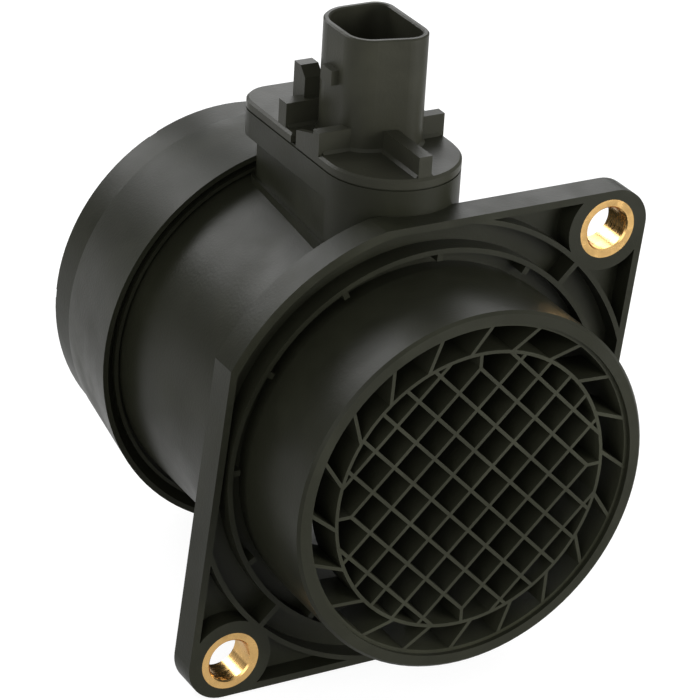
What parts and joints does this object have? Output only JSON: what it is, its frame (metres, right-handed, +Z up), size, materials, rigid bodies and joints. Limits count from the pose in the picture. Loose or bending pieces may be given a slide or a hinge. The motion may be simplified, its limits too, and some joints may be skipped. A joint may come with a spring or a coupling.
{
  "type": "mass airflow sensor",
  "caption": "Moulded air duct with a slanted bolted flange, lattice and vane flow straightener, flared hose end and a plug-in sensor whose connector shroud stands upright on top.",
  "frame": {"origin": "on the duct axis, in the mounting face of the flange", "axes": "+Y along the air flow from the inlet spigot to the hose end, +Z up through the connector shroud, +X to the right as seen from the inlet"},
  "size_m": [0.1024, 0.1123, 0.1321],
  "materials": {
    "tube_plastic": "black glass-filled polyamide, fine moulded grain",
    "straightener_plastic": "black polyamide, satin",
    "sensor_plastic": "black polyester, satin with clear grazing reflections",
    "cover_plastic": "black polyester, satin",
    "holder_plastic": "black polyester, satin",
    "brass_limiters": "turned brass, bright",
    "terminals": "tinned",
    "seal_rubber": "soft silicone",
    "base_metal": "rolled",
    "substrate": "fired alumina",
    "chips": "satin",
    "gel": "clear silicone gel",
    "thermistor": "glass-coated bead",
    "lead_wire": "tinned wire"
  },
  "bodies": {
    "root": {"base_plate": "base_metal", "bypass_cover": "cover_plastic", "chip_capacitors": "chips", "circuit_substrate": "substrate", "electronics_cover": "cover_plastic", "flange_bushing_lower": "brass_limiters", "flange_bushing_upper": "brass_limiters", "flow_straightener": "straightener_plastic", "flow_tube_housing": "tube_plastic", "potting_gel": "gel", "probe_seal_ring": "seal_rubber", "sensing_chip": "chips", "sensing_chip_holder": "holder_plastic", "sensor_carrier": "sensor_plastic", "signal_chip": "chips", "terminal_pin_1": "terminals", "terminal_pin_2": "terminals", "terminal_pin_3": "terminals", "terminal_pin_4": "terminals", "terminal_pin_5": "terminals", "thermistor_bead": "thermistor", "thermistor_leads": "lead_wire"}
  },
  "joints": []
}
